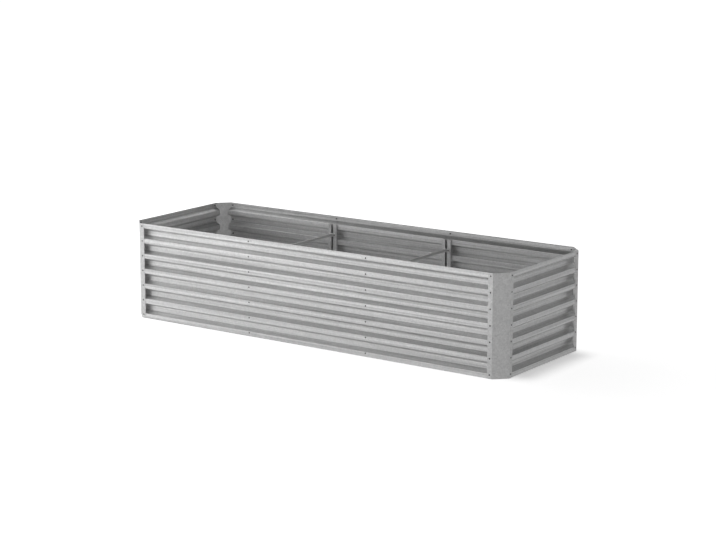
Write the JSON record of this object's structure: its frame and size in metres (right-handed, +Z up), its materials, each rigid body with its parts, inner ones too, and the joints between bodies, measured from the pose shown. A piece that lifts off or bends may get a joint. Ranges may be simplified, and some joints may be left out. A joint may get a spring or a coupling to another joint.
{
  "type": "raised garden bed",
  "caption": "Long rectangular open-bottomed garden bed of corrugated galvanised steel, with chamfered corner posts and bolted cross braces.",
  "frame": {"origin": "on the ground, in the middle of the bed", "axes": "+X along the bed to the right, +Y across it to the back, +Z up"},
  "size_m": [2.7482, 0.9194, 0.6096],
  "materials": {
    "panel_sheet": "galvanised, fine matt spangle",
    "corner_sheet": "galvanised, fine matt spangle",
    "post_sheet": "galvanised, matt",
    "brace_tube": "galvanised, satin",
    "bolt_steel": "dark zinc",
    "nut_steel": "dark zinc"
  },
  "bodies": {
    "root": {"front_left_panel": "panel_sheet", "front_centre_panel": "panel_sheet", "front_right_panel": "panel_sheet", "back_left_panel": "panel_sheet", "back_centre_panel": "panel_sheet", "back_right_panel": "panel_sheet", "left_end_panel": "panel_sheet", "right_end_panel": "panel_sheet", "front_left_corner_post": "corner_sheet", "front_right_corner_post": "corner_sheet", "back_left_corner_post": "corner_sheet", "back_right_corner_post": "corner_sheet", "front_left_joint_post": "post_sheet", "front_right_joint_post": "post_sheet", "back_left_joint_post": "post_sheet", "back_right_joint_post": "post_sheet", "left_cross_brace": "brace_tube", "right_cross_brace": "brace_tube", "front_left_corner_bolts": "bolt_steel", "front_right_corner_bolts": "bolt_steel", "back_left_corner_bolts": "bolt_steel", "back_right_corner_bolts": "bolt_steel", "front_left_joint_bolts": "bolt_steel", "front_right_joint_bolts": "bolt_steel", "back_left_joint_bolts": "bolt_steel", "back_right_joint_bolts": "bolt_steel", "left_brace_bolts": "bolt_steel", "right_brace_bolts": "bolt_steel", "front_left_corner_nuts": "nut_steel", "front_right_corner_nuts": "nut_steel", "back_left_corner_nuts": "nut_steel", "back_right_corner_nuts": "nut_steel", "front_left_joint_nuts": "nut_steel", "front_right_joint_nuts": "nut_steel", "back_left_joint_nuts": "nut_steel", "back_right_joint_nuts": "nut_steel", "left_brace_nuts": "nut_steel", "right_brace_nuts": "nut_steel"}
  },
  "joints": []
}
